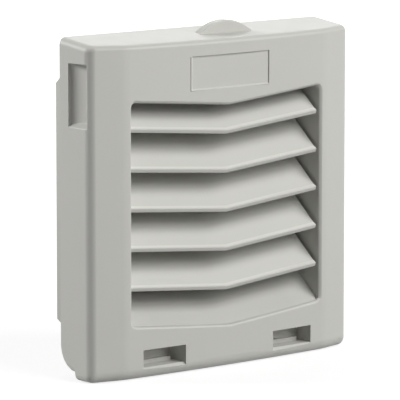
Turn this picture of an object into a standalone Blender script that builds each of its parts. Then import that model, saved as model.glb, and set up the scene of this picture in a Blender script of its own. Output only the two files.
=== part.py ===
"""Cabinet exhaust filter: a louvred hood hinged on a clip-in frame with a filter mat.

X runs to the right seen from the front, Y runs back into the cabinet, Z is up.
The origin is the centre of the panel cut-out, on the face of the panel.
All lengths are in metres.
"""
import math

import bmesh
import bpy

MM = 0.001

# Driving dimensions of the hood
HOOD_WIDTH = 109.0 * MM
HOOD_HEIGHT = 109.0 * MM
HOOD_DEPTH = 19.5 * MM
HOOD_WALL = 2.0 * MM
TOP_DROP = 2.4 * MM
TOP_CORNER_RADIUS = 2.4 * MM
LOW_CORNER_RADIUS = 2.4 * MM
SIDE_EDGE_ROUND = 2.4 * MM
TOP_EDGE_ROUND = 1.4 * MM
LOW_EDGE_ROUND = 3.6 * MM
LEAST_ROUND = 0.4 * MM
FACE_BOW = 1.2 * MM
SHOULDER_WIDTH = 14.0 * MM
SHOULDER_BLEND = 3.0 * MM
SHOULDER_SLOPE = 0.17

# Louvre opening and its blades
SIDE_BORDER = 14.9 * MM
TOP_BORDER = 23.9 * MM
LOW_BORDER = 13.8 * MM
OPENING_CORNER = 1.5 * MM
OPENING_EDGE_ROUND = 1.2 * MM
CHEVRON_RISE = 3.4 * MM
BLADE_COUNT = 5
FIRST_SLOT = 9.35 * MM
LAST_SLOT = 11.25 * MM
LIP_HEIGHT = 1.0 * MM
LIP_RECESS = 0.6 * MM
LIP_NOSE = 0.25 * MM
BLADE_DEPTH = 12.4 * MM
BLADE_SLOPE = math.radians(40.0)
BLADE_THICKNESS = 1.6 * MM
CHEEK_WALL = 1.8 * MM

# Bare label recess, thumb tab and finger grips
LABEL_WIDTH = 33.0 * MM
LABEL_HEIGHT = 11.0 * MM
LABEL_DISTANCE = 5.6 * MM
LABEL_DEPTH = 0.6 * MM
TAB_WIDTH = 21.8 * MM
TAB_HEIGHT = 4.05 * MM
TAB_THICKNESS = 3.0 * MM
TAB_OFFSET = 4.6 * MM
TAB_SETBACK = 7.8 * MM
GRIP_LENGTH = 8.9 * MM
GRIP_HEIGHT = 20.1 * MM
GRIP_DISTANCE = 7.9 * MM
GRIP_SETBACK = 5.9 * MM
GRIP_DEPTH = 2.7 * MM
GRIP_LEDGE = 1.9 * MM

# Hinge of the hood, and the sockets in front of it that open through windows in the face
HINGE_SETBACK = 6.2 * MM
HINGE_RISE = 8.5 * MM
PIN_RADIUS = 1.0 * MM
EYE_WALL = 1.1 * MM
HOOD_LUG_WIDTH = 9.6 * MM
FRAME_LUG_WIDTH = 4.0 * MM
LIP_LENGTH = 1.0 * MM
WINDOW_WIDTH = 17.0 * MM
WINDOW_HEIGHT = 5.7 * MM
WINDOW_RISE = 3.5 * MM
WINDOW_SPACING = 54.0 * MM
WINDOW_CHAMFER = 0.8 * MM
SOCKET_DEPTH = 8.0 * MM
SOCKET_WALL = 1.2 * MM
STEP_HEIGHT = 1.3 * MM
STEP_LENGTH = 1.6 * MM
STEP_MARGIN = 1.4 * MM

# Frame that clips into the panel
PANEL_OVERLAP = 8.5 * MM
CUTOUT_PLAY = 0.3 * MM
DUCT_DEPTH = 13.0 * MM
DUCT_WALL = 1.8 * MM
DUCT_CHAMFER = 7.5 * MM
FLANGE_THICKNESS = 1.7 * MM
FLANGE_CLEARANCE = 0.5 * MM
FLANGE_LOW_MARGIN = 4.1 * MM
GASKET_THICKNESS = 1.5 * MM
GASKET_WIDTH = 4.4 * MM
GASKET_LOW_WIDTH = 2.3 * MM
STOP_WIDTH = 10.0 * MM
STOP_SPACING = 50.0 * MM
STOP_REACH = 1.6 * MM
STOP_THICKNESS = 1.6 * MM

# Filter mat and the guard grid behind it
MAT_MARGIN = 2.1 * MM
MAT_THICKNESS = 9.8 * MM
MAT_CHAMFER = 6.0 * MM
GRID_THICKNESS = 2.2 * MM
GRID_RIM = 2.4 * MM
GRID_BAR = 1.5 * MM
GRID_CELLS = 8

# Spring clips that hold the frame in the panel
CLIP_WIDTH = 8.0 * MM
CLIP_SPACING = 44.0 * MM
CLIP_PLATE = 1.2 * MM
CLIP_START = 1.5 * MM
CLIP_PIVOT_INSET = 2.0 * MM
CLIP_CATCH = 2.2 * MM
CLIP_RAMP = 5.0 * MM
CLIP_RISE = 1.9 * MM

# Clearance between pieces, how far cutters run past a wall, and how finely rounds are made
GAP = 0.3 * MM
CUT = 8.0 * MM
ROUND_STEPS = 6
SMALL_ROUND_STEPS = 3
PIN_SIDES = 24

# Places that follow from the driving dimensions
HALF_WIDTH = HOOD_WIDTH / 2
HALF_HEIGHT = HOOD_HEIGHT / 2
FACE = -HOOD_DEPTH
FLAT_HALF = HALF_WIDTH - SHOULDER_WIDTH
HALF_OPENING = HALF_WIDTH - SIDE_BORDER
OPENING_TOP = HALF_HEIGHT - TOP_BORDER
OPENING_BOTTOM = -HALF_HEIGHT + LOW_BORDER
FIRST_LIP = OPENING_TOP - FIRST_SLOT
BLADE_PITCH = (FIRST_LIP - OPENING_BOTTOM - LAST_SLOT) / (BLADE_COUNT - 1)
LIP_FRONT = FACE + LIP_RECESS
LABEL_MIDDLE = OPENING_TOP + LABEL_DISTANCE + LABEL_HEIGHT / 2
GRIP_TOP = HALF_HEIGHT - GRIP_DISTANCE
AXIS_Y = -HINGE_SETBACK
HINGE_HEIGHT = -HALF_HEIGHT + HINGE_RISE
EYE_HOLE = PIN_RADIUS + GAP
EYE_RADIUS = EYE_HOLE + EYE_WALL
HOOD_FLOOR = -HALF_HEIGHT + HOOD_WALL
WINDOW_BOTTOM = -HALF_HEIGHT + WINDOW_RISE
WINDOW_TOP = WINDOW_BOTTOM + WINDOW_HEIGHT
WINDOW_MIDDLES = (-WINDOW_SPACING / 2, WINDOW_SPACING / 2)
SOCKET_BACK = FACE + SOCKET_DEPTH
HALF_DUCT_WIDTH = HALF_WIDTH - PANEL_OVERLAP - CUTOUT_PLAY
HALF_DUCT_HEIGHT = HALF_HEIGHT - PANEL_OVERLAP - CUTOUT_PLAY
FLANGE_BACK = -GASKET_THICKNESS - GAP
FLANGE_FRONT = FLANGE_BACK - FLANGE_THICKNESS
FLANGE_SIDE = HALF_WIDTH - HOOD_WALL - FLANGE_CLEARANCE
FLANGE_TOP = HALF_HEIGHT - HOOD_WALL - FLANGE_CLEARANCE - TOP_DROP * FLANGE_THICKNESS / HOOD_DEPTH
FLANGE_BOTTOM = -HALF_DUCT_HEIGHT - FLANGE_LOW_MARGIN

# Colours, roughness and metallic value of the finishes
FINISHES = {
    "hood_plastic": ((0.52, 0.515, 0.475, 1.0), 0.5, 0.0),
    "frame_plastic": ((0.5, 0.495, 0.455, 1.0), 0.5, 0.0),
    "pin_steel": ((0.6, 0.6, 0.6, 1.0), 0.3, 1.0),
    "clip_plastic": ((0.48, 0.475, 0.44, 1.0), 0.45, 0.0),
    "gasket_foam": ((0.03, 0.03, 0.03, 1.0), 0.95, 0.0),
    "mat_fleece": ((0.75, 0.76, 0.74, 1.0), 1.0, 0.0),
    "grid_plastic": ((0.45, 0.445, 0.41, 1.0), 0.5, 0.0),
}


def clear_scene():
    for old in list(bpy.data.objects):
        bpy.data.objects.remove(old, do_unlink=True)


def finish(name):
    material = bpy.data.materials.get(name)
    if material is None:
        colour, roughness, metallic = FINISHES[name]
        material = bpy.data.materials.new(name)
        material.use_nodes = True
        shader = material.node_tree.nodes["Principled BSDF"]
        shader.inputs["Base Color"].default_value = colour
        shader.inputs["Roughness"].default_value = roughness
        shader.inputs["Metallic"].default_value = metallic
        material.diffuse_color = colour
    return material


def make_object(name, mesh_data, finish_name=None, place=(0.0, 0.0, 0.0)):
    """Turn a bmesh into an object; without a finish it is a cutter or a tool."""
    bmesh.ops.recalc_face_normals(mesh_data, faces=mesh_data.faces)
    mesh = bpy.data.meshes.new(name)
    mesh_data.to_mesh(mesh)
    mesh_data.free()
    made = bpy.data.objects.new(name, mesh)
    made.location = place
    bpy.context.scene.collection.objects.link(made)
    if finish_name:
        mesh.materials.append(finish(finish_name))
    else:
        made.hide_render = True
        made.display_type = "WIRE"
    return made


def loft(rings, caps=True, mesh_data=None):
    """Skin closed rings that have the same number of points."""
    if mesh_data is None:
        mesh_data = bmesh.new()
    loops = [[mesh_data.verts.new(point) for point in ring] for ring in rings]
    for near, far in zip(loops, loops[1:]):
        for i in range(len(near)):
            j = (i + 1) % len(near)
            mesh_data.faces.new((near[i], near[j], far[j], far[i]))
    if caps:
        mesh_data.faces.new(loops[0])
        mesh_data.faces.new(loops[-1])
    return mesh_data, loops


def box(low, high):
    corners = [(low[0], low[2]), (high[0], low[2]), (high[0], high[2]), (low[0], high[2])]
    rings = [[(x, y, z) for x, z in corners] for y in (low[1], high[1])]
    return loft(rings)[0]


def side_prism(outline, low_x, high_x):
    """Extrude an outline of (y, z) points along X."""
    return loft([[(x, y, z) for y, z in outline] for x in (low_x, high_x)])[0]


def arc(centre, radius, start, end, steps):
    """Points of a circle's arc, with the angles in degrees."""
    points = []
    for i in range(steps + 1):
        angle = math.radians(start + (end - start) * i / steps)
        points.append((centre[0] + radius * math.cos(angle), centre[1] + radius * math.sin(angle)))
    return points


def rounded_outline(left, right, bottom, top, radius, steps=ROUND_STEPS):
    """A rectangle of (x, z) points with round corners."""
    points = arc((right - radius, top - radius), radius, 0, 90, steps)
    points += arc((left + radius, top - radius), radius, 90, 180, steps)
    points += arc((left + radius, bottom + radius), radius, 180, 270, steps)
    points += arc((right - radius, bottom + radius), radius, 270, 360, steps)
    return points


def chamfered_outline(half_width, half_height, chamfer):
    """A rectangle of (x, z) points about the origin with its corners cut off."""
    return rounded_outline(-half_width, half_width, -half_height, half_height, chamfer, 1)


def plate(outline, low_y, high_y, mesh_data=None):
    """Extrude an outline of (x, z) points along Y."""
    return loft([[(x, y, z) for x, z in outline] for y in (low_y, high_y)], mesh_data=mesh_data)[0]


def combine(target, tool, operation):
    """Join, cut or keep the overlap with another object, which then is removed."""
    modifier = target.modifiers.new(operation.title(), "BOOLEAN")
    modifier.operation = operation
    modifier.solver = "EXACT"
    modifier.object = tool
    evaluated = target.evaluated_get(bpy.context.evaluated_depsgraph_get())
    result = bpy.data.meshes.new_from_object(evaluated)
    target.modifiers.clear()
    old = target.data
    target.data = result
    bpy.data.meshes.remove(old)
    bpy.data.objects.remove(tool, do_unlink=True)


def cut(target, mesh_data):
    combine(target, make_object("cutter", mesh_data), "DIFFERENCE")


def join(target, mesh_data):
    combine(target, make_object("addition", mesh_data), "UNION")


def smooth(target, angle=30.0):
    target.data.shade_smooth()
    target.data.set_sharp_from_angle(angle=math.radians(angle))


def face_bow(x):
    """How far the face falls back from its middle at x: a slow bow, then sloped shoulders."""
    beyond = max(0.0, abs(x) - FLAT_HALF)
    if beyond < SHOULDER_BLEND:
        shoulder = SHOULDER_SLOPE * beyond ** 2 / (2 * SHOULDER_BLEND)
    else:
        shoulder = SHOULDER_SLOPE * (beyond - SHOULDER_BLEND / 2)
    return FACE_BOW * (x / FLAT_HALF) ** 2 + shoulder


def top_height(y):
    """The sloped top of the hood, highest at the panel."""
    return HALF_HEIGHT + TOP_DROP * y / HOOD_DEPTH


def mirrored(values):
    """Values from the right edge to the middle, then on to the left edge."""
    return values + [-value for value in reversed(values[:-1])]


def hood_ring(side_inset, top_inset, low_inset, bottom, y, follow):
    """One closed section of the hood, seen from the front; follow 1 puts it on the bowed face."""
    side = HALF_WIDTH - side_inset
    low = bottom + low_inset
    high_radius = max(TOP_CORNER_RADIUS - side_inset, LEAST_ROUND)
    low_radius = max(LOW_CORNER_RADIUS - side_inset, LEAST_ROUND)
    bends = [FLAT_HALF + SHOULDER_BLEND, FLAT_HALF + SHOULDER_BLEND / 2]
    middle_xs = mirrored(bends + [FLAT_HALF * share for share in (1.0, 0.75, 0.5, 0.25, 0.0)])
    ring = []

    def add(x, z_from_top, z=None):
        place_y = y + follow * face_bow(x)
        ring.append((x, place_y, top_height(place_y) - top_inset + z_from_top if z is None else z))

    for x, z in arc((side - high_radius, -high_radius), high_radius, 0, 90, ROUND_STEPS):
        add(x, z)
    for x in middle_xs:
        add(x, 0.0)
    for x, z in arc((-side + high_radius, -high_radius), high_radius, 90, 180, ROUND_STEPS):
        add(x, z)
    for x, z in arc((-side + low_radius, low + low_radius), low_radius, 180, 270, ROUND_STEPS):
        add(x, 0.0, z)
    for x in reversed(middle_xs):
        add(x, 0.0, low)
    for x, z in arc((side - low_radius, low + low_radius), low_radius, 270, 360, ROUND_STEPS):
        add(x, 0.0, z)
    return ring


def close_face(mesh_data, loop):
    """Close the bowed face with upright strips, each from its upper edge to its lower one."""
    half = len(loop) // 2
    upper = loop[:half]
    lower = loop[half:][::-1]
    for i in range(half - 1):
        mesh_data.faces.new((upper[i], upper[i + 1], lower[i + 1], lower[i]))


def hood_body():
    """Outer form: rear edge, round heel about the hinge, lip and the rounded front edge."""
    rings = [hood_ring(0.0, 0.0, 0.0, HINGE_HEIGHT - GAP, -GAP, 0.0)]
    for i in range(1, ROUND_STEPS):
        turn = math.radians(90.0 * i / (ROUND_STEPS - 1))
        y = AXIS_Y + (HINGE_SETBACK - GAP) * math.cos(turn)
        heel = HINGE_HEIGHT - HINGE_SETBACK * math.sin(turn)
        rings.append(hood_ring(0.0, 0.0, 0.0, heel, y, 0.0))
    lip_back = AXIS_Y - LIP_LENGTH
    rings.append(hood_ring(0.0, 0.0, 0.0, HINGE_HEIGHT - HINGE_SETBACK, lip_back, 0.0))
    rings.append(hood_ring(0.0, 0.0, 0.0, -HALF_HEIGHT, lip_back - GAP, 0.0))
    for i in range(ROUND_STEPS + 1):
        turn = math.radians(90.0 * i / ROUND_STEPS)
        share = 1 - math.cos(turn)
        y = FACE + SIDE_EDGE_ROUND * (1 - math.sin(turn))
        insets = (SIDE_EDGE_ROUND * share, TOP_EDGE_ROUND * share, LOW_EDGE_ROUND * share)
        rings.append(hood_ring(*insets, -HALF_HEIGHT, y, 1.0))
    mesh_data, loops = loft(rings, caps=False)
    mesh_data.faces.new(loops[0])
    close_face(mesh_data, loops[-1])
    return make_object("front_cover", mesh_data, "hood_plastic")


def hood_hollow():
    """The space inside the hood, which stays open at the back and under the heel."""
    rings = []
    for y, follow in ((CUT, 0.0), (FACE + HOOD_WALL, 1.0)):
        rings.append(hood_ring(HOOD_WALL, HOOD_WALL, HOOD_WALL, -HALF_HEIGHT, y, follow))
    mesh_data, loops = loft(rings, caps=False)
    mesh_data.faces.new(loops[0])
    close_face(mesh_data, loops[-1])
    return mesh_data


def chevron(x):
    """How far a line of the chevron has climbed at x."""
    return CHEVRON_RISE * abs(x) / HALF_OPENING


def opening_outline(grow):
    """The louvre opening, a rectangle bent to a shallow V, made larger by grow all round."""
    round_start = HALF_OPENING - OPENING_CORNER
    radius = OPENING_CORNER + grow
    bends = mirrored([round_start * share for share in (0.75, 0.5, 0.25, 0.0)])
    top_centre = OPENING_TOP + chevron(round_start) - OPENING_CORNER
    low_centre = OPENING_BOTTOM + chevron(round_start) + OPENING_CORNER
    points = arc((round_start, top_centre), radius, 0, 90, SMALL_ROUND_STEPS)
    points += [(x, OPENING_TOP + chevron(x) + grow) for x in bends]
    points += arc((-round_start, top_centre), radius, 90, 180, SMALL_ROUND_STEPS)
    points += arc((-round_start, low_centre), radius, 180, 270, SMALL_ROUND_STEPS)
    points += [(x, OPENING_BOTTOM + chevron(x) - grow) for x in reversed(bends)]
    points += arc((round_start, low_centre), radius, 270, 360, SMALL_ROUND_STEPS)
    return points


def opening_cutter():
    """Cutter of the opening, which flares out to round the edge of the bowed face."""
    rings = [[(x, 0.0, z) for x, z in opening_outline(0.0)]]
    for angle in (0.0, 25.0, 50.0, 75.0):
        turn = math.radians(angle)
        grow = OPENING_EDGE_ROUND * (1 - math.cos(turn))
        depth = OPENING_EDGE_ROUND * (1 - math.sin(turn))
        rings.append([(x, FACE + face_bow(x) + depth, z) for x, z in opening_outline(grow)])
    rings.append([(x, FACE - CUT, z) for x, _, z in rings[-1]])
    return loft(rings)[0]


def blade_outline():
    """Side view of a blade from its lip's lower edge: a low lip, then a plate that climbs back."""
    rise = BLADE_DEPTH * math.tan(BLADE_SLOPE)
    drop = BLADE_THICKNESS / math.cos(BLADE_SLOPE)
    heel = (drop - LIP_HEIGHT) / math.tan(BLADE_SLOPE)
    return [
        (0.0, LIP_NOSE),
        (0.0, LIP_HEIGHT - LIP_NOSE),
        (LIP_NOSE, LIP_HEIGHT),
        (BLADE_DEPTH, LIP_HEIGHT + rise),
        (BLADE_DEPTH, LIP_HEIGHT + rise - drop),
        (heel, 0.0),
        (LIP_NOSE, 0.0),
    ]


def add_louvres():
    """Blades bent to a V in their middle, and set back towards their ends as the face is."""
    half = HALF_OPENING - GAP
    for i in range(BLADE_COUNT):
        lip = FIRST_LIP - i * BLADE_PITCH
        sections = []
        for x in (-half, 0.0, half):
            setback = FACE_BOW * abs(x) / HALF_OPENING
            sections.append([(x, LIP_FRONT + setback + y, lip + chevron(x) + z) for y, z in blade_outline()])
        make_object("louvre_%d" % (i + 1), loft(sections)[0], "hood_plastic")


def add_cheeks(hood):
    """Walls beside the blades."""
    for side in (-1, 1):
        near = side * HALF_OPENING
        far = side * (HALF_OPENING + CHEEK_WALL)
        low = (min(near, far), FACE + HOOD_WALL, OPENING_BOTTOM + CHEVRON_RISE - HOOD_WALL)
        high = (max(near, far), LIP_FRONT + BLADE_DEPTH, OPENING_TOP + CHEVRON_RISE + HOOD_WALL)
        join(hood, box(low, high))


def add_sill(hood):
    """Sloped plate below the last slot, from the rounded edge of the opening to the blades' depth."""
    start = OPENING_EDGE_ROUND
    rise = (BLADE_DEPTH - start) * math.tan(BLADE_SLOPE)
    drop = BLADE_THICKNESS / math.cos(BLADE_SLOPE)
    outline = [(start, 0.0), (BLADE_DEPTH, rise), (BLADE_DEPTH, rise - drop), (start, -drop)]
    half = HALF_OPENING + CHEEK_WALL / 2
    sections = []
    for x in mirrored([half * share for share in (1.0, 0.75, 0.5, 0.25, 0.0)]):
        base = OPENING_BOTTOM + chevron(x)
        sections.append([(x, FACE + face_bow(x) + y, base + z) for y, z in outline])
    join(hood, loft(sections)[0])


def grip_profile(side):
    """Plan of a finger grip: from outside in at the rear, round to the deep front and out again."""
    outer = side * HALF_WIDTH
    back = FACE + GRIP_SETBACK + GRIP_LENGTH
    points = [(outer + side * CUT, back)]
    for i in range(ROUND_STEPS + 1):
        turn = math.radians(90.0 * i / ROUND_STEPS)
        points.append((outer - side * GRIP_DEPTH * math.sin(turn), back - GRIP_LENGTH * (1 - math.cos(turn))))
    points.append((outer + side * CUT, back - GRIP_LENGTH))
    return points


def add_grips(hood):
    """Scooped finger grips in the sides, each with a thicker wall behind it and a sloped ledge."""
    for side in (-1, 1):
        wall = side * (HALF_WIDTH - GRIP_DEPTH - HOOD_WALL / 2)
        skin = side * (HALF_WIDTH - HOOD_WALL / 2)
        front = FACE + GRIP_SETBACK - HOOD_WALL / 2
        low = (min(wall, skin), front, GRIP_TOP - GRIP_HEIGHT - HOOD_WALL / 2)
        high = (max(wall, skin), front + GRIP_LENGTH + HOOD_WALL, GRIP_TOP + HOOD_WALL / 2)
        join(hood, box(low, high))
        low_ring = []
        for x, y in grip_profile(side):
            depth = HALF_WIDTH - abs(x)
            low_ring.append((x, y, GRIP_TOP - GRIP_HEIGHT + GRIP_LEDGE * depth / GRIP_DEPTH))
        high_ring = [(x, y, GRIP_TOP) for x, y, _ in low_ring]
        cut(hood, loft([low_ring, high_ring])[0])


def add_tab(hood):
    """A half-round thumb tab that stands on the sloped top."""
    front = FACE + TAB_SETBACK
    base = top_height(front)
    radius = ((TAB_WIDTH / 2) ** 2 + TAB_HEIGHT ** 2) / (2 * TAB_HEIGHT)
    centre = base + TAB_HEIGHT - radius
    foot = base - HOOD_WALL / 2
    reach = math.acos((foot - centre) / radius)
    outline = []
    for i in range(3 * ROUND_STEPS + 1):
        turn = reach - 2 * reach * i / (3 * ROUND_STEPS)
        outline.append((TAB_OFFSET + radius * math.sin(turn), centre + radius * math.cos(turn)))
    join(hood, plate(outline, front, front + TAB_THICKNESS))


def cut_label(hood):
    low = (-LABEL_WIDTH / 2, FACE - CUT, LABEL_MIDDLE - LABEL_HEIGHT / 2)
    high = (LABEL_WIDTH / 2, FACE + LABEL_DEPTH, LABEL_MIDDLE + LABEL_HEIGHT / 2)
    cut(hood, box(low, high))


def add_sockets(hood):
    """Closed sockets behind the windows, each with a step on its floor and a chamfered sill."""
    for middle in WINDOW_MIDDLES:
        left = middle - WINDOW_WIDTH / 2
        right = middle + WINDOW_WIDTH / 2
        low = (left - SOCKET_WALL, FACE + HOOD_WALL, HOOD_FLOOR - GAP)
        high = (right + SOCKET_WALL, SOCKET_BACK + SOCKET_WALL, WINDOW_TOP + SOCKET_WALL)
        join(hood, box(low, high))
        mouth = FACE + face_bow(middle)
        outline = [
            (FACE - CUT, WINDOW_BOTTOM - CUT),
            (mouth, WINDOW_BOTTOM - WINDOW_CHAMFER),
            (mouth + WINDOW_CHAMFER, WINDOW_BOTTOM),
            (SOCKET_BACK, WINDOW_BOTTOM),
            (SOCKET_BACK, WINDOW_TOP),
            (FACE - CUT, WINDOW_TOP),
        ]
        cut(hood, side_prism(outline, left, right))
        low = (left - SOCKET_WALL / 2, SOCKET_BACK - STEP_LENGTH, WINDOW_BOTTOM - SOCKET_WALL / 2)
        high = (right - STEP_MARGIN, SOCKET_BACK + SOCKET_WALL / 2, WINDOW_BOTTOM + STEP_HEIGHT)
        join(hood, box(low, high))


def hood_lug_span(middle):
    start = middle - WINDOW_WIDTH / 2 + GAP
    return start, start + HOOD_LUG_WIDTH


def frame_lug_span(middle):
    start = hood_lug_span(middle)[1] + GAP
    return start, start + FRAME_LUG_WIDTH


def pin_hole(low_x, high_x):
    """Cutter of the hole through a lug, a little longer than the lug."""
    circle = arc((AXIS_Y, HINGE_HEIGHT), EYE_HOLE, 0, 360, PIN_SIDES)[:-1]
    return side_prism(circle, low_x - GAP / 2, high_x + GAP / 2)


def add_hood_lugs(hood):
    """An eye about each pin, on the back of each socket."""
    root = SOCKET_BACK + SOCKET_WALL / 2
    for middle in WINDOW_MIDDLES:
        low_x, high_x = hood_lug_span(middle)
        outline = arc((AXIS_Y, HINGE_HEIGHT), EYE_RADIUS, -90, 90, 2 * ROUND_STEPS)
        outline += [(root, HINGE_HEIGHT + EYE_RADIUS), (root, HINGE_HEIGHT - EYE_RADIUS)]
        join(hood, side_prism(outline, low_x, high_x))
        cut(hood, pin_hole(low_x, high_x))


def add_stops(hood):
    """Ribs under the top wall that meet the flange when the hood is shut."""
    back = FLANGE_FRONT - GAP
    for middle in (-STOP_SPACING / 2, STOP_SPACING / 2):
        low = (middle - STOP_WIDTH / 2, back - STOP_THICKNESS, FLANGE_TOP - STOP_REACH)
        high = (middle + STOP_WIDTH / 2, back, top_height(back) - HOOD_WALL / 2)
        join(hood, box(low, high))


def front_cover():
    hood = hood_body()
    cut(hood, hood_hollow())
    add_cheeks(hood)
    cut(hood, opening_cutter())
    add_sill(hood)
    add_grips(hood)
    add_tab(hood)
    cut_label(hood)
    add_sockets(hood)
    add_hood_lugs(hood)
    add_stops(hood)
    smooth(hood)


def clip_places():
    """Middle of each clip across the frame, with the side of the duct that it is on."""
    for side, label in ((1, "top"), (-1, "bottom")):
        for middle, hand in ((-CLIP_SPACING / 2, "left"), (CLIP_SPACING / 2, "right")):
            yield side, middle, "panel_clip_%s_%s" % (label, hand)


def duct_outline(inset):
    """The duct's outline, moved inwards; its corners are cut off."""
    return chamfered_outline(HALF_DUCT_WIDTH - inset, HALF_DUCT_HEIGHT - inset, DUCT_CHAMFER - inset)


def cut_clip_slots(frame):
    for side, middle, _ in clip_places():
        near = side * (HALF_DUCT_HEIGHT - DUCT_WALL - CLIP_RISE)
        far = side * (HALF_DUCT_HEIGHT + CLIP_RISE)
        slot_end = DUCT_DEPTH - CLIP_PIVOT_INSET + CLIP_PLATE / 2 + GAP
        low = (middle - CLIP_WIDTH / 2 - GAP, CLIP_START - GAP, min(near, far))
        high = (middle + CLIP_WIDTH / 2 + GAP, slot_end, max(near, far))
        cut(frame, box(low, high))


def rear_frame():
    """Flange behind the hood, duct through the panel, lugs for the pins and slots for the clips."""
    flange = rounded_outline(-FLANGE_SIDE, FLANGE_SIDE, FLANGE_BOTTOM, FLANGE_TOP, TOP_CORNER_RADIUS)
    frame = make_object("rear_frame", plate(flange, FLANGE_FRONT, FLANGE_BACK), "frame_plastic")
    inside_flange = FLANGE_FRONT + FLANGE_THICKNESS / 2
    join(frame, plate(duct_outline(0.0), inside_flange, DUCT_DEPTH))
    for middle in WINDOW_MIDDLES:
        low_x, high_x = frame_lug_span(middle)
        outline = arc((AXIS_Y, HINGE_HEIGHT), EYE_RADIUS, 90, 270, 2 * ROUND_STEPS)
        outline += [(inside_flange, HINGE_HEIGHT - EYE_RADIUS), (inside_flange, HINGE_HEIGHT + EYE_RADIUS)]
        join(frame, side_prism(outline, low_x, high_x))
        cut(frame, pin_hole(low_x, high_x))
    cut(frame, plate(duct_outline(DUCT_WALL), FACE, DUCT_DEPTH + CUT))
    cut_clip_slots(frame)
    smooth(frame)


def hinge_pins():
    for middle, hand in zip(WINDOW_MIDDLES, ("left", "right")):
        low_x = hood_lug_span(middle)[0]
        high_x = frame_lug_span(middle)[1]
        circle = arc((0.0, 0.0), PIN_RADIUS, 0, 360, PIN_SIDES)[:-1]
        half = (high_x - low_x) / 2
        place = (low_x + half, AXIS_Y, HINGE_HEIGHT)
        smooth(make_object("hinge_pin_%s" % hand, side_prism(circle, -half, half), "pin_steel", place))


def flange_gasket():
    """Foam ring between the flange and the panel, narrower above the hinge."""
    low = -HALF_DUCT_HEIGHT - GAP - GASKET_LOW_WIDTH
    high = HALF_DUCT_HEIGHT + GAP + GASKET_WIDTH
    side = HALF_DUCT_WIDTH + GAP + GASKET_WIDTH
    outline = rounded_outline(-side, side, low, high, TOP_CORNER_RADIUS)
    gasket = make_object("flange_gasket", plate(outline, -GASKET_THICKNESS, 0.0), "gasket_foam")
    cut(gasket, plate(duct_outline(-GAP), -CUT, CUT))


def cell_outline(column, row, start_x, start_z, width, height):
    """One open cell of the grid; the cells in its corners have their outer corner cut off."""
    low_x = start_x + column * (width + GRID_BAR)
    low_z = start_z + row * (height + GRID_BAR)
    last = GRID_CELLS - 1
    outline = []
    for right, upper in ((0, 0), (1, 0), (1, 1), (0, 1)):
        x = low_x + right * width
        z = low_z + upper * height
        if column == right * last and row == upper * last:
            beside = [(x, low_z + height / 2), (low_x + width / 2, z)]
            outline += beside if right == upper else beside[::-1]
        else:
            outline.append((x, z))
    return outline


def guard_grid():
    """Open grid at the back of the duct: a rim with bars both ways."""
    front = DUCT_DEPTH - GRID_THICKNESS
    rim = plate(duct_outline(DUCT_WALL + GAP), front, DUCT_DEPTH)
    grid = make_object("rear_guard_grid", rim, "grid_plastic")
    start_x = -HALF_DUCT_WIDTH + DUCT_WALL + GAP + GRID_RIM
    start_z = -HALF_DUCT_HEIGHT + DUCT_WALL + GAP + GRID_RIM
    width = (-2 * start_x - (GRID_CELLS - 1) * GRID_BAR) / GRID_CELLS
    height = (-2 * start_z - (GRID_CELLS - 1) * GRID_BAR) / GRID_CELLS
    cells = bmesh.new()
    for column in range(GRID_CELLS):
        for row in range(GRID_CELLS):
            outline = cell_outline(column, row, start_x, start_z, width, height)
            plate(outline, front - CUT, DUCT_DEPTH + CUT, cells)
    cut(grid, cells)


def filter_mat():
    half_width = HALF_DUCT_WIDTH - DUCT_WALL - MAT_MARGIN
    half_height = HALF_DUCT_HEIGHT - DUCT_WALL - MAT_MARGIN
    back = DUCT_DEPTH - GRID_THICKNESS - GAP
    outline = chamfered_outline(half_width, half_height, MAT_CHAMFER)
    make_object("filter_mat", plate(outline, back - MAT_THICKNESS, back), "mat_fleece")


def panel_clips():
    """Spring tongues with a ramp, each turning on its rear end."""
    pivot_y = DUCT_DEPTH - CLIP_PIVOT_INSET
    reach = CLIP_START - pivot_y
    catch = CLIP_CATCH - pivot_y
    ramp_end = catch + CLIP_RAMP
    half_plate = CLIP_PLATE / 2
    outline = [
        (reach, -half_plate),
        (0.0, -half_plate),
        (half_plate, 0.0),
        (0.0, half_plate),
        (ramp_end, half_plate),
        (catch + GAP, half_plate + CLIP_RISE),
        (catch, half_plate + CLIP_RISE - GAP),
        (catch, half_plate),
        (reach, half_plate),
    ]
    for side, middle, name in clip_places():
        clip = side_prism([(y, side * z) for y, z in outline], -CLIP_WIDTH / 2, CLIP_WIDTH / 2)
        place = (middle, pivot_y, side * (HALF_DUCT_HEIGHT - half_plate - GAP))
        make_object(name, clip, "clip_plastic", place)


def main():
    clear_scene()
    front_cover()
    add_louvres()
    rear_frame()
    hinge_pins()
    flange_gasket()
    guard_grid()
    filter_mat()
    panel_clips()


main()
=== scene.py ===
"""Dresses the cabinet exhaust filter: moulded plastic, steel pins, foam gasket and fleece mat."""
import math

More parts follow.
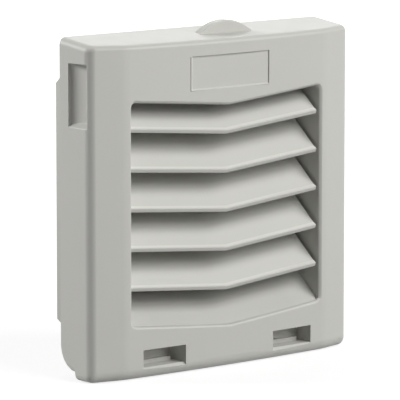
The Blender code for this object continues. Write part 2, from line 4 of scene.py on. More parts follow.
import bpy
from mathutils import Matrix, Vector


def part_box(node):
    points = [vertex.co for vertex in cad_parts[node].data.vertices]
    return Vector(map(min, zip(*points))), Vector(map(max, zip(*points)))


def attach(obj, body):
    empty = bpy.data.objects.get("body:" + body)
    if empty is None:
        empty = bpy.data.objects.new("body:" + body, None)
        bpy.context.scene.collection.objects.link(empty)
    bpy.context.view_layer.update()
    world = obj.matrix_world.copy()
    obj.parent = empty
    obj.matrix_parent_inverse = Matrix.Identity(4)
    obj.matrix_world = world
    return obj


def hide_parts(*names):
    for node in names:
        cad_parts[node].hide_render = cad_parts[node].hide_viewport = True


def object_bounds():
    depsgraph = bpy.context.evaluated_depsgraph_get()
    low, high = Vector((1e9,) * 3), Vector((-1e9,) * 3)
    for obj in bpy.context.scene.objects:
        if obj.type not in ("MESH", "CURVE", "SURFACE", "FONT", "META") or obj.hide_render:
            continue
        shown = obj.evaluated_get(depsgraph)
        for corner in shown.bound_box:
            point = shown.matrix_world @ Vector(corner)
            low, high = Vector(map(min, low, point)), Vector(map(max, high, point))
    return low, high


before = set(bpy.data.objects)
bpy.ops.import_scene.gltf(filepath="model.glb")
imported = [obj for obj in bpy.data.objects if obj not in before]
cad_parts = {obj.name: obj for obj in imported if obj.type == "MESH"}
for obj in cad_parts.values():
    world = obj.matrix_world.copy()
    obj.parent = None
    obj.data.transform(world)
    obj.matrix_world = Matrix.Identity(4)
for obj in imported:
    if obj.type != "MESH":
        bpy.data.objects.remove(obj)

bl_info = {
    "name": "Cabinet Exhaust Filter",
    "version": (1, 0, 0),
    "blender": (4, 5, 0),
    "location": "View3D > Sidebar > Exhaust Filter",
    "description": "Finishes a louvred exhaust filter for a cabinet panel and sets its stage",
    "category": "Object",
}

MM = 0.001
CAD_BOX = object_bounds()
LOUVRES = sorted(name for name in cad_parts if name.startswith("louvre_"))
CLIPS = sorted(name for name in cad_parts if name.startswith("panel_clip_"))
PINS = sorted(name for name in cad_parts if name.startswith("hinge_pin_"))

# Boxes in millimetres: round the edges that have rounds of their own, and of the label recess's floor
TAB_EDGE = ((-7.0, -12.0, 53.3), (16.2, -11.4, 60.0))
LABEL_FLOOR = ((-16.5, -18.9, 36.2), (16.5, -18.9, 47.2))
GRIP_EDGES = (((-54.6, -15.6, 15.0), (-54.2, -2.0, 50.0)), ((54.2, -15.6, 15.0), (54.6, -2.0, 50.0)))

# The photograph's view, as a camera fitted to the louvres, recesses and outline gives it
CAMERA_PLACE = Vector((-0.76494, -0.91607, 0.17207))
CAMERA_LOOK = Vector((0.63590, 0.75810, -0.14465))
CAMERA_LENS_MM = 333.0
CAMERA_CLIP = (0.05, 30.0)

# The soft lamps: each one's setting, its share of it, and where it stands as azimuth and elevation
LAMP_DISTANCE = 2.2
LAMP_SIZE = 0.8
LAMPS = {
    "back_left_lamp": ("back_power", 1.0, 135.0, 26.0),
    "back_right_lamp": ("back_power", 0.12, 45.0, 30.0),
    "front_right_lamp": ("front_power", 1.0, 310.0, 41.0),
    "front_left_lamp": ("front_power", 0.62, 276.0, 34.0),
    "front_low_lamp": ("front_power", 0.5, 292.0, 19.0),
}

# The floor, and the distances between which it brightens to white
FLOOR_SIZE = 12.0
FLOOR_DROP = 0.2 * MM
FLOOR_NEAR = 0.15
FLOOR_FAR = 0.6

# How a copy of a node's mesh is cleaned and shaded
MERGE_DISTANCE = 0.002 * MM
FLAT_ANGLE = math.radians(0.4)
SMOOTH_ANGLE = math.radians(20.0)

# Which edges are rounded: how far they turn, and the room they need at their ends, in widths of the round
CORNER_ANGLE = math.radians(35.0)
CREASE_ANGLE = math.radians(5.0)
ROUND_ROOM = 2.2

# The label recess's sloped foot: how far it stands out, and the share of its width that its front is drawn back
LABEL_STEP = 0.59 * MM
WEDGE_DRAW = 0.97

# A blade's lip: how near two corners count as one place, its sizes, and how far up the faces point that get painted
# light on the slope and a painted highlight on the lip
NEAR = 0.1 * MM
LONG_EDGE = 10.0 * MM
LIP_LENGTH = 1.1 * MM
LIP_THICKNESS = 0.5 * MM
LIP_FOOT = 0.3 * MM
PAINTED_LIGHT_TILT = 0.7
PAINTED_HIGHLIGHT_TILT = 0.85

# The mat's mesh, how far its edges are pulled in, and the lumps of its faces
MAT_CUTS = 23
MAT_PULL = 0.003
LUMP_SIZE = 0.006
LUMP_MIDDLE = 0.6

# The colour sockets of a Mix node, which share their names with its number sockets
COLOUR_A, COLOUR_B, COLOUR_RESULT = 6, 7, 2


class Value:
    """A number in a shader: Python's operators on it add Math nodes."""

    def __init__(self, graph, socket):
        self.graph = graph
        self.socket = socket

    def math(self, operation, first, second):
        return self.graph.node("ShaderNodeMath", {"operation": operation}, {0: first, 1: second}).out()

    def __add__(self, other):
        return self.math("ADD", self, other)

    __radd__ = __add__

    def __sub__(self, other):
        return self.math("SUBTRACT", self, other)

    def __rsub__(self, other):
        return self.math("SUBTRACT", other, self)

    def __mul__(self, other):
        return self.math("MULTIPLY", self, other)

    __rmul__ = __mul__


class Node:
    """A shader node whose outputs are read as values."""

    def __init__(self, graph, made):
        self.graph = graph
        self.made = made

    def out(self, name=0):
        return Value(self.graph, self.made.outputs[name])


class Graph:
    """The node tree of one material."""

    def __init__(self, name):
        self.material = bpy.data.materials.new(name)
        self.material.use_nodes = True
        self.tree = self.material.node_tree
        self.shader = self.tree.nodes["Principled BSDF"]
        self.place = Value(self, self.node("ShaderNodeTexCoord").made.outputs["Object"])

    def node(self, kind, settings=None, inputs=None):
        made = self.tree.nodes.new(kind)
        for key, value in (settings or {}).items():
            setattr(made, key, value)
        for key, value in (inputs or {}).items():
            self.feed(made.inputs[key], value)
        return Node(self, made)

    def feed(self, socket, value):
        if isinstance(value, Value):
            self.tree.links.new(value.socket, socket)
        else:
            socket.default_value = value

    def surface(self, **inputs):
        for name, value in inputs.items():
            self.feed(self.shader.inputs[name.replace("_", " ")], value)

    def stretched(self, scale):
        return self.node("ShaderNodeMapping", None, {"Vector": self.place, "Scale": scale}).out()

    def noise(self, scale, detail=2.0, vector=None):
        inputs = {"Vector": vector or self.place, "Scale": scale, "Detail": detail}
        return self.node("ShaderNodeTexNoise", None, inputs).out("Fac")

    def blend(self, factor, first, second):
        inputs = {"Factor": factor, COLOUR_A: first, COLOUR_B: second}
        return self.node("ShaderNodeMix", {"data_type": "RGBA"}, inputs).out(COLOUR_RESULT)

    def bump(self, height, strength, distance):
        inputs = {"Height": height, "Strength": strength, "Distance": distance}
        return self.node("ShaderNodeBump", None, inputs).out()


def shade(colour, share):
    """A colour made lighter or darker, with full alpha."""
    return tuple(min(1.0, part * share) for part in colour[:3]) + (1.0,)


def moulded_plastic(name, colour, roughness, grain):
    """Fine spark-eroded texture with a slight cloudiness in colour and gloss."""
    graph = Graph(name)
    cloud = graph.noise(45.0, 3.0)
    speck = graph.noise(900.0, 2.0)
    tone = graph.blend(cloud * 0.7 + speck * 0.3, shade(colour, 0.975), shade(colour, 1.025))
    fine = graph.noise(2600.0, 3.0)
    graph.surface(
        Base_Color=tone,
        Roughness=graph.noise(220.0, 2.0) * 0.12 + (roughness - 0.06),
        Normal=graph.bump(fine + speck * 0.5, grain, 0.00006),
    )
    graph.shader.inputs["Specular IOR Level"].default_value = 0.3
    return graph.material


def drawn_steel(name, colour):
    """Zinc-plated wire: fine lines along its length and dull patches."""
    graph = Graph(name)
    lines = graph.noise(400.0, 4.0, graph.stretched((0.15, 12.0, 12.0)))
    patch = graph.noise(300.0, 3.0)
    graph.surface(
        Base_Color=graph.blend(patch, shade(colour, 0.88), shade(colour, 1.05)),
        Metallic=1.0,
        Roughness=lines * 0.16 + patch * 0.12 + 0.18,
        Normal=graph.bump(lines, 0.25, 0.00003),
    )
    return graph.material


def closed_foam(name, colour):
    """Dark cellular rubber with open skin pores."""
    graph = Graph(name)
    cells = graph.node("ShaderNodeTexVoronoi", {"feature": "F1"}, {"Vector": graph.place, "Scale": 1500.0}).out()
    soft = graph.noise(500.0, 3.0)
    graph.surface(
        Base_Color=graph.blend(soft, shade(colour, 0.8), shade(colour, 1.5)),
        Roughness=soft * 0.1 + 0.85,
        Normal=graph.bump(cells + soft * 0.4, 0.6, 0.00025),
    )
    return graph.material


def needled_fleece(name, colour):
    """Matted synthetic fibres: streaks in several directions over a soft cloud."""
    graph = Graph(name)
    along = graph.noise(700.0, 6.0, graph.stretched((0.2, 1.0, 3.2)))
    across = graph.noise(700.0, 6.0, graph.stretched((3.2, 1.0, 0.2)))
    cloud = graph.noise(120.0, 4.0)
    fibres = along * across + cloud * 0.35
    graph.surface(
        Base_Color=graph.blend(fibres * 1.4, shade(colour, 0.72), shade(colour, 1.1)),
        Roughness=cloud * 0.06 + 0.92,
        Normal=graph.bump(fibres, 0.9, 0.0006),
    )
    return graph.material


def pale_floor(name, colour, lift):
    """A plain floor that the camera sees nearly white, with the shadow round the filter kept."""
    graph = Graph(name)
    path = graph.node("ShaderNodeLightPath")
    seen = path.out("Is Camera Ray") + path.out("Is Glossy Ray") + path.out("Is Transmission Ray")
    distance = graph.node("ShaderNodeVectorMath", {"operation": "LENGTH"}, {0: graph.place}).out("Value")
    fall = {"Value": distance, "From Min": FLOOR_NEAR, "From Max": FLOOR_FAR, "To Min": lift, "To Max": 1.0}
    lifted = graph.node("ShaderNodeMapRange", None, fall).out()
    glow = graph.blend(seen * lifted, (0.0, 0.0, 0.0, 1.0), (1.0, 1.0, 1.0, 1.0))
    graph.surface(
        Base_Color=graph.blend(graph.noise(3.0), shade(colour, 0.99), shade(colour, 1.01)),
        Emission_Color=glow,
        Emission_Strength=1.0,
        Roughness=0.9,
    )
    return graph.material


class FinishSettings(bpy.types.PropertyGroup):
    """Colours and finishes of the filter's pieces, and the painted light and painted highlight on the blades."""

    hood_colour: bpy.props.FloatVectorProperty(
        name="Hood colour", description="Light warm grey of the hood and its blades",
        size=3, subtype="COLOR", min=0.0, max=1.0, default=(0.565, 0.562, 0.528),
    )
    frame_colour: bpy.props.FloatVectorProperty(
        name="Frame colour", description="Grey of the frame, its grid and clips",
        size=3, subtype="COLOR", min=0.0, max=1.0, default=(0.55, 0.547, 0.513),
    )
    steel_colour: bpy.props.FloatVectorProperty(
        name="Pin colour", description="Plated steel of the hinge pins",
        size=3, subtype="COLOR", min=0.0, max=1.0, default=(0.62, 0.62, 0.6),
    )
    foam_colour: bpy.props.FloatVectorProperty(
        name="Gasket colour", description="Dark foam of the flange gasket",
        size=3, subtype="COLOR", min=0.0, max=1.0, default=(0.035, 0.035, 0.036),
    )
    fleece_colour: bpy.props.FloatVectorProperty(
        name="Mat colour", description="Fibres of the filter mat",
        size=3, subtype="COLOR", min=0.0, max=1.0, default=(0.26, 0.26, 0.245),
    )
    # Painted light: the blades' up-facing slopes are painted lighter than the hood, for the light that falls on
    # them
    slope_painted_light_share: bpy.props.FloatProperty(
        name="Slope shade", description="How light the blades' slopes are against the hood",
        min=0.0, default=1.14,
    )
    # Painted highlight: the tops of the blades' lips are painted lighter still, for the bright line the light makes
    # along them
    lip_painted_highlight_share: bpy.props.FloatProperty(
        name="Lip shade", description="How light the tops of the blades' lips are against the hood",
        min=0.0, default=1.34,
    )
    roughness: bpy.props.FloatProperty(
        name="Plastic roughness", description="How matt the moulded plastic is",
        min=0.0, max=1.0, default=0.45,
    )
    grain: bpy.props.FloatProperty(
        name="Grain", description="Strength of the moulded surface texture",
        min=0.0, max=1.0, default=0.25,
    )


class ShapeSettings(bpy.types.PropertyGroup):
    """Small sizes that finish the edges."""

    clip_round: bpy.props.FloatProperty(
        name="Clip round", description="Width of the small round on the clips' edges",
        unit="LENGTH", min=0.0, default=0.125 * MM,
    )
    pin_round: bpy.props.FloatProperty(
        name="Pin round", description="Width of the round on the ends of the hinge pins",
        unit="LENGTH", min=0.0, default=0.3 * MM,
    )
    gasket_round: bpy.props.FloatProperty(
        name="Gasket round", description="Width of the round on the gasket's edges",
        unit="LENGTH", min=0.0, default=0.3 * MM,
    )
    tab_round: bpy.props.FloatProperty(
        name="Tab round", description="Width of the round on the thumb tab's front edge",
        unit="LENGTH", min=0.0, default=0.5 * MM,
    )
    grip_round: bpy.props.FloatProperty(
        name="Grip round", description="Width of the round on the edges of the grips",
        unit="LENGTH", min=0.0, default=0.35 * MM,
    )
    label_fillet: bpy.props.FloatProperty(
        name="Label fillet", description="Width of the sloped foot along the label recess's lower and left walls",
        unit="LENGTH", min=0.0, default=0.55 * MM,
    )
    lip_round: bpy.props.FloatProperty(
        name="Lip round", description="Width of the small round on the blades' edges",
        unit="LENGTH", min=0.0, default=0.1 * MM,
    )
    lip_rise: bpy.props.FloatProperty(
        name="Lip rise", description="How far the top of each blade's lip stands above its slope",
        unit="LENGTH", min=0.0, default=0.42 * MM,
    )
    lip_lean: bpy.props.FloatProperty(
        name="Lip lean", description="How far the foot of each blade's lip stands back, for the draft of its mould",
        unit="LENGTH", min=0.0, default=0.3 * MM,
    )
    blade_reach: bpy.props.FloatProperty(
        name="Blade reach", description="How far each blade is moved to the left, into the wall there",
        unit="LENGTH", min=0.0, default=0.8 * MM,
    )
    mat_bulge: bpy.props.FloatProperty(
        name="Mat bulge", description="Unevenness of the mat's soft faces",
        unit="LENGTH", min=0.0, default=0.5 * MM,
    )


class StageSettings(bpy.types.PropertyGroup):
    """Floor, lamps and sky."""

    floor_colour: bpy.props.FloatVectorProperty(
        name="Floor colour", description="Plain pale floor",
        size=3, subtype="COLOR", min=0.0, max=1.0, default=(0.3, 0.3, 0.3),
    )
    floor_lift: bpy.props.FloatProperty(
        name="Floor lift", description="White added to the floor where the camera sees it",
        min=0.0, max=1.0, default=0.75,
    )
    sky_level: bpy.props.FloatProperty(
        name="Sky level", description="Strength of the even light from all round",
        min=0.0, default=0.0,
    )
    back_power: bpy.props.FloatProperty(
        name="Back lamps", description="Power of the lamp behind on the left, which the one on the right follows",
        unit="POWER", min=0.0, default=41.5,
    )
    front_power: bpy.props.FloatProperty(
        name="Front lamps", description="Power of the lamp in front on the right, which the weaker ones follow",
        unit="POWER", min=0.0, default=22.8,
    )


def clear_selection():
    if bpy.context.object and bpy.context.object.mode != "OBJECT":
        bpy.ops.object.mode_set(mode="OBJECT")
    bpy.ops.object.select_all(action="DESELECT")


def make_active(piece):
    clear_selection()
    piece.select_set(True)
    bpy.context.view_layer.objects.active = piece


def clear_mesh_selection(piece, mode):
    """Leave nothing of a mesh chosen, ready for its corners or edges to be chosen next."""
    make_active(piece)
    bpy.ops.object.mode_set(mode="EDIT")
    bpy.ops.mesh.select_mode(type=mode)
    bpy.ops.mesh.select_all(action="DESELECT")
    bpy.ops.object.mode_set(mode="OBJECT")


def edit_chosen(operator, **settings):
    """Run one edit-mode operator on what is chosen of the active mesh, and leave nothing chosen."""
    bpy.ops.object.mode_set(mode="EDIT")
    operator(**settings)
    bpy.ops.mesh.select_all(action="DESELECT")
    bpy.ops.object.mode_set(mode="OBJECT")


def corner_places(piece):
    return [corner.co.copy() for corner in piece.data.vertices]


def move_corners(piece, chosen, step):
    """Move the corners of a piece whose places pass a test."""
    clear_mesh_selection(piece, "VERT")
    for corner in piece.data.vertices:
        corner.select = chosen(corner.co)
    edit_chosen(bpy.ops.transform.translate, value=step)


def apply_modifier(piece, name, kind, **settings):
    make_active(piece)
    modifier = piece.modifiers.new(name, kind)
    for key, value in settings.items():
        setattr(modifier, key, value)
    bpy.ops.object.modifier_apply(modifier=modifier.name)


def copy_of_node(node, name, whole_faces=True):
    """A copy of a node's mesh with its doubles merged and, where asked, its flat faces made whole."""
    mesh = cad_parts[node].data.copy()
    mesh.materials.clear()
    piece = bpy.data.objects.new(name, mesh)
    bpy.context.scene.collection.objects.link(piece)
    make_active(piece)
    bpy.ops.object.mode_set(mode="EDIT")
    bpy.ops.mesh.select_all(action="SELECT")
    bpy.ops.mesh.remove_doubles(threshold=MERGE_DISTANCE)
    if whole_faces:
        bpy.ops.mesh.dissolve_limited(angle_limit=FLAT_ANGLE)
    bpy.ops.object.mode_set(mode="OBJECT")
    return piece


def smooth_faces(piece):
    make_active(piece)
    bpy.ops.object.shade_smooth_by_angle(angle=SMOOTH_ANGLE)
    apply_modifier(piece, "Normals", "WEIGHTED_NORMAL", keep_sharp=True, weight=100)


def outer_corners(mesh, shortest):
    """The outward edges that turn enough to be rounded and meet no edge too short to round."""
    sides = {}
    for face in mesh.polygons:
        for key in face.edge_keys:
            sides.setdefault(key, []).append(face)
    crowded = set()
    for edge in mesh.edges:
        start, end = (mesh.vertices[corner].co for corner in edge.vertices)
        if (start - end).length < shortest and len(sides[edge.key]) == 2:
            first, second = sides[edge.key]
            if first.normal.angle(second.normal, 0.0) > CREASE_ANGLE:
                crowded.update(edge.vertices)
    found = []
    for edge in mesh.edges:
        if len(sides[edge.key]) == 2 and not crowded.intersection(edge.vertices):
            first, second = sides[edge.key]
            outward = (second.center - first.center).dot(first.normal) < 0.0
            if outward and first.normal.angle(second.normal, 0.0) > CORNER_ANGLE:
                found.append(edge)
    return found


def inside(place, low, high):
    return all(low[axis] <= place[axis] / MM <= high[axis] for axis in range(3))


def round_edges(piece, width, segments=3, within=None):
    """Round the outward edges of a piece, or only those within a box whose corners are in millimetres."""
    clear_mesh_selection(piece, "EDGE")
    corners = piece.data.vertices
    for edge in outer_corners(piece.data, ROUND_ROOM * width if within is None else 0.0):
        edge.select = within is None or all(inside(corners[corner].co, *within) for corner in edge.vertices)
    edit_chosen(bpy.ops.mesh.bevel, offset=width, segments=segments, affect="EDGES", clamp_overlap=False)
    smooth_faces(piece)


def finish_piece(piece, body, slot, material, *nodes):
    if not piece.data.materials:
        piece.data.materials.append(material)
    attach(piece, body)
    if nodes:
        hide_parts(*nodes)


def plastic(name, colour, finish):
    return bpy.data.materials.get(name) or moulded_plastic(name, colour, finish.roughness, finish.grain)


def hood_material(finish):
    return plastic("hood_moulding", finish.hood_colour, finish)


def frame_material(finish):
    return plastic("frame_moulding", finish.frame_colour, finish)


class FILTER_OT_hood(bpy.types.Operator):
    """Finish the hood with rounds on its tab and grips and a sloped foot in its label recess"""

    bl_idname = "exhaust_filter.hood"
    bl_label = "Hood"

    def execute(self, context):
        shape = context.scene.filter_shape
        hood = copy_of_node("front_cover", "hood_shell")
        round_edges(hood, shape.tab_round, segments=4, within=TAB_EDGE)
        for grip in GRIP_EDGES:
            round_edges(hood, shape.grip_round, within=grip)
        self.line_label(hood, shape.label_fillet)
        finish_piece(hood, "hood", "hood_plastic", hood_material(context.scene.filter_finish), "front_cover")
        return {"FINISHED"}

    def line_label(self, hood, width):
        """Add a sloped foot along the lower and the left wall of the bare label recess."""
        low, high = (Vector(corner) * MM for corner in LABEL_FLOOR)
        front = Vector((0.0, -LABEL_STEP, 0.0))
        below = self.wedge(low + front, Vector((high.x, low.y, low.z + width)), 2)
        beside = self.wedge(low + front, Vector((low.x + 2.0 * width, low.y, high.z)), 0)
        make_active(hood)
        below.select_set(True)
        beside.select_set(True)
        bpy.ops.object.join()

    def wedge(self, low, high, axis):
        """A block whose front is drawn in along one axis, so that it slopes back from its foot."""
        middle = (low + high) / 2
        clear_selection()
        bpy.ops.mesh.primitive_cube_add(size=1.0, location=middle, scale=high - low)
        block = bpy.context.object
        bpy.ops.object.transform_apply(location=True, rotation=True, scale=True)
        step = Vector((0.0, 0.0, 0.0))
        step[axis] = -WEDGE_DRAW * (high - low)[axis]
        move_corners(block, lambda place: place.y < middle.y and place[axis] > middle[axis], step)
        return block


class FILTER_OT_blades(bpy.types.Operator):
    """Move each blade into the wall on its left and shape its lip"""

    bl_idname = "exhaust_filter.blades"
    bl_label = "Louvre blades"

    def execute(self, context):
        shape = context.scene.filter_shape
        finish = context.scene.filter_finish
        for node in LOUVRES:
            blade = copy_of_node(node, node.replace("louvre", "blade"))
            # This moves the whole blade, so its right end stands further from the wall than its solid's does
            move_corners(blade, lambda place: True, (-shape.blade_reach, 0.0, 0.0))
            self.raise_lip(blade, shape.lip_rise)
            self.lean_lip(blade, shape.lip_lean)
            round_edges(blade, shape.lip_round)
            # Painted light on the blade's slope and a painted highlight on its lip
            self.paint_light_on_slope(blade, finish)
            finish_piece(blade, "hood", "hood_plastic", hood_material(finish), node)
        return {"FINISHED"}

    def paint_light_on_slope(self, blade, finish):
        """Paint light on the blade: its up-facing slope gets a lighter copy of the hood's plastic as painted light,
        and the top of its lip a lighter one still as a painted highlight.
        """
        slope = plastic("slope_painted_light", shade(finish.hood_colour, finish.slope_painted_light_share), finish)
        lip = plastic("lip_painted_highlight", shade(finish.hood_colour, finish.lip_painted_highlight_share), finish)
        for material in (hood_material(finish), slope, lip):
            blade.data.materials.append(material)
        # Faces are chosen by how far up they point: the slope gets painted light, the lip's top a painted highlight
        for face in blade.data.polygons:
            if face.normal.y < 0.0 and face.normal.z > PAINTED_LIGHT_TILT:
                face.material_index = 2 if face.normal.z > PAINTED_HIGHLIGHT_TILT else 1

    def raise_lip(self, blade, rise):
        """Split the slope near its lip and lift the lip's top, so that the slope flattens towards it."""
        clear_mesh_selection(blade, "EDGE")
        places = corner_places(blade)
        for edge in blade.data.edges:
            start, end = sorted((places[corner] for corner in edge.vertices), key=lambda place: place.y)
            along = end - start
            top = max(place.z for place in places if abs(place.x - end.x) < NEAR)
            edge.select = along.length > LONG_EDGE and abs(along.x) < NEAR and end.z > top - NEAR
            if edge.select:
                slope = along
        edit_chosen(bpy.ops.mesh.subdivide, number_cuts=1)

        def is_new(place):
            return all((place - old).length > NEAR for old in places)

        def on_top(place):
            front, foot = self.front_and_foot(places, place.x)
            return place.y < front + LIP_THICKNESS and place.z > foot + LIP_THICKNESS

        move_corners(blade, is_new, slope * (LIP_LENGTH / slope.y - 0.5))
        move_corners(blade, on_top, (0.0, 0.0, rise))

    def lean_lip(self, blade, lean):
        """Move the foot of the lip back at each place along the blade where it has corners."""
        places = corner_places(blade)

        def at_foot(place):
            front, foot = self.front_and_foot(places, place.x)
            return place.y < front + LIP_THICKNESS and place.z < foot + LIP_FOOT

        move_corners(blade, at_foot, (0.0, lean, 0.0))

    def front_and_foot(self, places, along):
        """How far forward and how far down a blade's corners reach at one position along it."""
        station = [place for place in places if abs(place.x - along) < NEAR]
        return min(place.y for place in station), min(place.z for place in station)


class FILTER_OT_frame(bpy.types.Operator):
    """Finish the clip-in frame"""

    bl_idname = "exhaust_filter.frame"
    bl_label = "Frame"

    def execute(self, context):
        piece = copy_of_node("rear_frame", "clip_in_frame", whole_faces=False)
        smooth_faces(piece)
        finish_piece(piece, "frame", "frame_plastic", frame_material(context.scene.filter_finish), "rear_frame")
        return {"FINISHED"}


class FILTER_OT_grid(bpy.types.Operator):
    """Finish the guard grid behind the mat"""

    bl_idname = "exhaust_filter.grid"
    bl_label = "Guard grid"

    def execute(self, context):
        piece = copy_of_node("rear_guard_grid", "guard_grid", whole_faces=False)
        smooth_faces(piece)
        finish_piece(piece, "frame", "grid_plastic", frame_material(context.scene.filter_finish), "rear_guard_grid")
        return {"FINISHED"}


class FILTER_OT_clips(bpy.types.Operator):
    """Finish the spring tongues that hold the frame in the panel"""

    bl_idname = "exhaust_filter.clips"
    bl_label = "Panel clips"

    def execute(self, context):
        for node in CLIPS:
            piece = copy_of_node(node, node.replace("panel_clip", "tongue"))
            round_edges(piece, context.scene.filter_shape.clip_round)
            body = node.replace("panel_clip", "clip")
            finish_piece(piece, body, "clip_plastic", frame_material(context.scene.filter_finish), node)
        return {"FINISHED"}


class FILTER_OT_pins(bpy.types.Operator):
    """Turn the two hinge pins with rounded ends"""

    bl_idname = "exhaust_filter.pins"
    bl_label = "Hinge pins"

    def execute(self, context):
        steel = drawn_steel("drawn_steel", context.scene.filter_finish.steel_colour)
        for node in PINS:
            low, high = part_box(node)
            clear_selection()
            bpy.ops.mesh.primitive_cylinder_add(
                vertices=48, radius=(high.z - low.z) / 2, depth=high.x - low.x,
                location=(low + high) / 2, rotation=(0.0, math.radians(90.0), 0.0),
            )
            pin = bpy.context.object
            pin.name = node.replace("hinge_pin", "pin")
            bpy.ops.object.transform_apply(location=True, rotation=True, scale=True)
            round_edges(pin, context.scene.filter_shape.pin_round, segments=4)
            finish_piece(pin, "frame", "pin_steel", steel, node)
        return {"FINISHED"}


class FILTER_OT_gasket(bpy.types.Operator):
    """Finish the foam gasket behind the flange"""

    bl_idname = "exhaust_filter.gasket"
    bl_label = "Gasket"

    def execute(self, context):
        piece = copy_of_node("flange_gasket", "foam_gasket")
        round_edges(piece, context.scene.filter_shape.gasket_round)
        foam = closed_foam("closed_foam", context.scene.filter_finish.foam_colour)
        finish_piece(piece, "frame", "gasket_foam", foam, "flange_gasket")
        return {"FINISHED"}


class FILTER_OT_mat(bpy.types.Operator):
    """Model the filter mat as a soft pad of needled fleece"""

    bl_idname = "exhaust_filter.mat"
    bl_label = "Filter mat"

    def execute(self, context):
        bulge = context.scene.filter_shape.mat_bulge
        low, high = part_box("filter_mat")
        clear_selection()
        bpy.ops.mesh.primitive_cube_add(size=1.0, location=(low + high) / 2)
        mat = bpy.context.object
        mat.name = "fleece_mat"
        mat.scale = high - low - Vector((0.0, bulge, 0.0))
        bpy.ops.object.transform_apply(location=True, rotation=True, scale=True)
        bpy.ops.object.mode_set(mode="EDIT")
        bpy.ops.mesh.select_all(action="SELECT")
        bpy.ops.mesh.subdivide(number_cuts=MAT_CUTS)
        bpy.ops.object.mode_set(mode="OBJECT")
        for vertex in mat.data.vertices:
            self.soften(vertex, low, high)
        apply_modifier(mat, "Smooth form", "SUBSURF", levels=1, render_levels=1)
        lumps = bpy.data.textures.new("fleece_lumps", "CLOUDS")
        lumps.noise_scale = LUMP_SIZE
        lumps.noise_depth = 3
        apply_modifier(mat, "Lumps", "DISPLACE", texture=lumps, strength=bulge, mid_level=LUMP_MIDDLE)
        bpy.ops.object.shade_smooth()
        fleece = needled_fleece("needled_fleece", context.scene.filter_finish.fleece_colour)
        finish_piece(mat, "frame", "mat_fleece", fleece, "filter_mat")
        return {"FINISHED"}

    def soften(self, vertex, low, high):
        """Pull the mat's edges in, so that its sides are rounded as a cut fleece's are."""
        middle = (low + high) / 2
        half = (high - low) / 2
        across = min(1.0, abs(vertex.co.y - middle.y) / half.y)
        pull = 1.0 - MAT_PULL * across ** 3
        vertex.co.x = middle.x + (vertex.co.x - middle.x) * pull
        vertex.co.z = middle.z + (vertex.co.z - middle.z) * pull


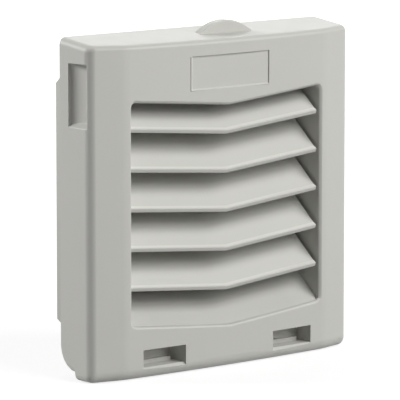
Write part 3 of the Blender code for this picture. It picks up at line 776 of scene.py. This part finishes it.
class FILTER_OT_stage(bpy.types.Operator):
    """Set the floor, the sky, the lamps and the camera"""

    bl_idname = "exhaust_filter.stage"
    bl_label = "Stage"

    def execute(self, context):
        stage = context.scene.filter_stage
        self.floor(stage)
        self.sky(stage)
        for name, (setting, share, azimuth, elevation) in LAMPS.items():
            self.lamp(name, getattr(stage, setting) * share, math.radians(azimuth), math.radians(elevation))
        self.camera(context)
        context.scene.view_settings.view_transform = "Standard"
        return {"FINISHED"}

    def floor(self, stage):
        clear_selection()
        bpy.ops.mesh.primitive_plane_add(size=FLOOR_SIZE, location=(0.0, 0.0, CAD_BOX[0].z - FLOOR_DROP))
        floor = bpy.context.object
        floor.name = "floor"
        floor.data.materials.append(pale_floor("pale_floor", stage.floor_colour, stage.floor_lift))

    def sky(self, stage):
        world = bpy.data.worlds.new("soft_sky")
        world.use_nodes = True
        tree = world.node_tree
        background = tree.nodes["Background"]
        path = tree.nodes.new("ShaderNodeLightPath")
        seen = path.outputs["Is Camera Ray"]
        for ray in ("Is Glossy Ray", "Is Transmission Ray"):
            either = tree.nodes.new("ShaderNodeMath")
            either.operation = "MAXIMUM"
            tree.links.new(seen, either.inputs[0])
            tree.links.new(path.outputs[ray], either.inputs[1])
            seen = either.outputs[0]
        level = tree.nodes.new("ShaderNodeMix")
        tree.links.new(seen, level.inputs["Factor"])
        level.inputs["A"].default_value = stage.sky_level
        level.inputs["B"].default_value = 1.0
        tree.links.new(level.outputs[0], background.inputs["Strength"])
        background.inputs["Color"].default_value = (1.0, 1.0, 1.0, 1.0)
        bpy.context.scene.world = world

    def lamp(self, name, power, azimuth, elevation):
        level = math.cos(elevation)
        place = Vector((level * math.cos(azimuth), level * math.sin(azimuth), math.sin(elevation))) * LAMP_DISTANCE
        clear_selection()
        bpy.ops.object.light_add(type="AREA", location=place)
        lamp = bpy.context.object
        lamp.name = name
        lamp.data.energy = power
        lamp.data.size = LAMP_SIZE
        lamp.rotation_mode = "QUATERNION"
        lamp.rotation_quaternion = (-place).to_track_quat("-Z", "Y")

    def camera(self, context):
        clear_selection()
        bpy.ops.object.camera_add(location=CAMERA_PLACE)
        camera = bpy.context.object
        camera.name = "photo_camera"
        camera.rotation_mode = "QUATERNION"
        camera.rotation_quaternion = CAMERA_LOOK.to_track_quat("-Z", "Y")
        camera.data.lens = CAMERA_LENS_MM
        camera.data.clip_start, camera.data.clip_end = CAMERA_CLIP
        context.scene.camera = camera


class FILTER_PT_panel(bpy.types.Panel):
    """Lists the steps that dress the filter"""

    bl_idname = "FILTER_PT_panel"
    bl_label = "Exhaust Filter"
    bl_space_type = "VIEW_3D"
    bl_region_type = "UI"
    bl_category = "Exhaust Filter"

    def draw(self, context):
        for group in ("filter_finish", "filter_shape", "filter_stage"):
            settings = getattr(context.scene, group)
            for name in settings.bl_rna.properties.keys():
                if name not in ("rna_type", "name"):
                    self.layout.prop(settings, name)
        for operator in OPERATORS:
            self.layout.operator(operator.bl_idname)


SETTINGS = {"filter_finish": FinishSettings, "filter_shape": ShapeSettings, "filter_stage": StageSettings}
OPERATORS = (
    FILTER_OT_stage, FILTER_OT_hood, FILTER_OT_blades, FILTER_OT_frame, FILTER_OT_grid,
    FILTER_OT_clips, FILTER_OT_pins, FILTER_OT_gasket, FILTER_OT_mat,
)


def register():
    for kind in (*SETTINGS.values(), *OPERATORS, FILTER_PT_panel):
        bpy.utils.register_class(kind)
    for name, kind in SETTINGS.items():
        setattr(bpy.types.Scene, name, bpy.props.PointerProperty(type=kind))


def unregister():
    for name in SETTINGS:
        delattr(bpy.types.Scene, name)
    for kind in reversed((*SETTINGS.values(), *OPERATORS, FILTER_PT_panel)):
        bpy.utils.unregister_class(kind)


def main():
    register()
    for operator in OPERATORS:
        group, name = operator.bl_idname.split(".")
        getattr(getattr(bpy.ops, group), name)()
    clear_selection()


if __name__ == "__main__":
    main()
